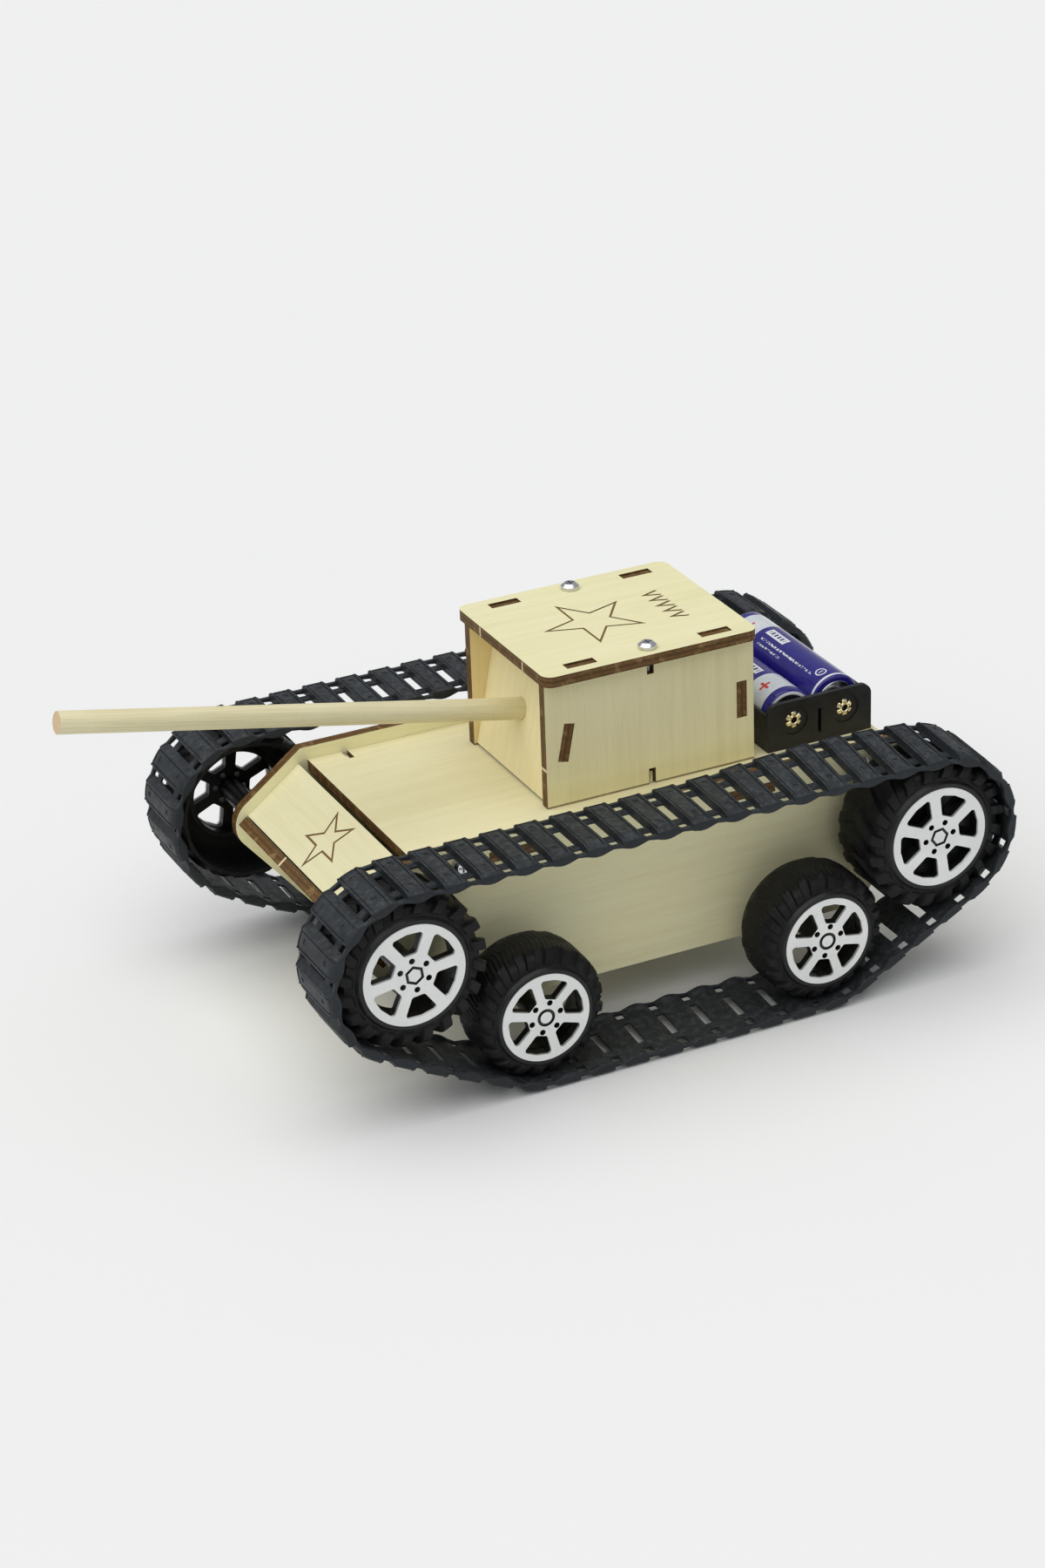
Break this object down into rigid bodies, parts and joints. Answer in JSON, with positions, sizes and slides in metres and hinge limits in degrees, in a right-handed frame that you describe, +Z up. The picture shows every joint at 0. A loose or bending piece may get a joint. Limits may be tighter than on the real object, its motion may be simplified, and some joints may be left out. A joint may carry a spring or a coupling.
{
  "type": "tracked tank chassis",
  "caption": "Plywood toy tank chassis with rubber tracks on tyred wheels, a box turret with a dowel barrel, a geared motor and a battery holder.",
  "frame": {"origin": "on the ground under the middle of the bounding box", "axes": "+X forward along the tank, the way the barrel points; +Y to the tank's left; +Z up"},
  "size_m": [0.2446, 0.1284, 0.1063],
  "materials": {
    "plywood": "laser-cut birch or basswood plywood, matt, with dark burnt cut edges",
    "barrel_wood": "sanded round hardwood dowel, matt",
    "tread_rubber": "moulded blue-black rubber belt, matt",
    "tyre_rubber": "moulded black rubber with a raised tread",
    "rim_plastic": "black moulded plastic",
    "cap_plastic": "white moulded plastic, low gloss",
    "bush_plastic": "natural white nylon",
    "steel": "bright zinc-plated steel",
    "holder_plastic": "black moulded plastic",
    "brass": "bright brass",
    "cell_wrap": "printed shrink sleeve, glossy navy blue with pale bands",
    "switch_plastic": "black moulded plastic",
    "gear_plastic": "natural acetal",
    "frame_plastic": "yellow moulded plastic",
    "motor_steel": "nickel-plated steel can",
    "lead_red": "red wire insulation",
    "lead_black": "black wire insulation"
  },
  "bodies": {
    "hull": {"side_plate_left": "plywood", "side_plate_right": "plywood", "deck_plate": "plywood", "glacis_plate": "plywood", "nose_plate": "plywood", "belly_plate": "plywood", "tail_plate_upper": "plywood", "tail_plate_lower": "plywood", "turret_side_left": "plywood", "turret_side_right": "plywood", "turret_front": "plywood", "turret_rear": "plywood", "turret_top": "plywood", "barrel": "barrel_wood", "hull_screws": "steel", "turret_screws": "steel", "axle_bushes": "bush_plastic", "track_left": "tread_rubber", "track_right": "tread_rubber", "battery_holder": "holder_plastic", "battery_springs": "steel", "battery_eyelets": "brass", "switch_body": "switch_plastic", "gearbox_frame": "frame_plastic", "gearbox_screws": "steel", "motor_can": "motor_steel", "motor_end_cap": "holder_plastic", "lead_red": "lead_red", "lead_black": "lead_black", "lead_link": "lead_red"},
    "front_wheels": {"front_axle": "steel", "front_tyre_left": "tyre_rubber", "front_tyre_right": "tyre_rubber", "front_rims": "rim_plastic", "front_caps": "cap_plastic"},
    "rear_wheels": {"rear_axle": "steel", "rear_tyre_left": "tyre_rubber", "rear_tyre_right": "tyre_rubber", "rear_rims": "rim_plastic", "rear_caps": "cap_plastic", "axle_gear": "gear_plastic"},
    "road_front_wheels": {"road_front_axle": "steel", "road_front_tyre_left": "tyre_rubber", "road_front_tyre_right": "tyre_rubber", "road_front_rims": "rim_plastic", "road_front_caps": "cap_plastic"},
    "road_rear_wheels": {"road_rear_axle": "steel", "road_rear_tyre_left": "tyre_rubber", "road_rear_tyre_right": "tyre_rubber", "road_rear_rims": "rim_plastic", "road_rear_caps": "cap_plastic"},
    "gear_one_body": {"gear_one": "gear_plastic"},
    "gear_two_body": {"gear_two": "gear_plastic"},
    "motor_shaft": {"motor_pinion": "gear_plastic"},
    "switch_knob": {"switch_slider": "cap_plastic"},
    "front_cell": {"cell_front": "cell_wrap"},
    "rear_cell": {"cell_rear": "cell_wrap"}
  },
  "joints": [
    {"name": "rear_wheels_spin", "type": "hinge", "parent": "hull", "child": "rear_wheels", "pos_m": [-0.0983, 0, 0.0432], "axis": [0, 1, 0], "continuous": true},
    {"name": "front_wheels_spin", "type": "hinge", "parent": "hull", "child": "front_wheels", "pos_m": [0.0549, 0, 0.0432], "axis": [0, 1, 0], "continuous": true},
    {"name": "road_front_wheels_spin", "type": "hinge", "parent": "hull", "child": "road_front_wheels", "pos_m": [0.0189, 0, 0.021], "axis": [0, 1, 0], "continuous": true},
    {"name": "road_rear_wheels_spin", "type": "hinge", "parent": "hull", "child": "road_rear_wheels", "pos_m": [-0.0641, 0, 0.021], "axis": [0, 1, 0], "continuous": true},
    {"name": "gear_one_spin", "type": "hinge", "parent": "hull", "child": "gear_one_body", "pos_m": [-0.0913, 0, 0.0432], "axis": [0, 1, 0], "continuous": true},
    {"name": "gear_two_spin", "type": "hinge", "parent": "hull", "child": "gear_two_body", "pos_m": [-0.0843, 0, 0.0432], "axis": [0, 1, 0], "continuous": true},
    {"name": "motor_shaft_spin", "type": "hinge", "parent": "hull", "child": "motor_shaft", "pos_m": [-0.0773, 0, 0.0432], "axis": [0, 1, 0], "continuous": true},
    {"name": "switch_slide", "type": "slide", "parent": "hull", "child": "switch_knob", "axis": [0, 1, 0], "range_m": [0, 0.003]},
    {"name": "front_cell_lift", "type": "slide", "parent": "hull", "child": "front_cell", "axis": [0, 0, 1], "range_m": [0, 0.02]},
    {"name": "rear_cell_lift", "type": "slide", "parent": "hull", "child": "rear_cell", "axis": [0, 0, 1], "range_m": [0, 0.02]}
  ],
  "couplings": [
    {"joint": "front_wheels_spin", "follows": "rear_wheels_spin", "ratio": 1},
    {"joint": "road_front_wheels_spin", "follows": "rear_wheels_spin", "ratio": 1.1648},
    {"joint": "road_rear_wheels_spin", "follows": "rear_wheels_spin", "ratio": 1.1648},
    {"joint": "gear_one_spin", "follows": "rear_wheels_spin", "ratio": -2.5},
    {"joint": "gear_two_spin", "follows": "rear_wheels_spin", "ratio": 6.25},
    {"joint": "motor_shaft_spin", "follows": "rear_wheels_spin", "ratio": -15.625}
  ]
}
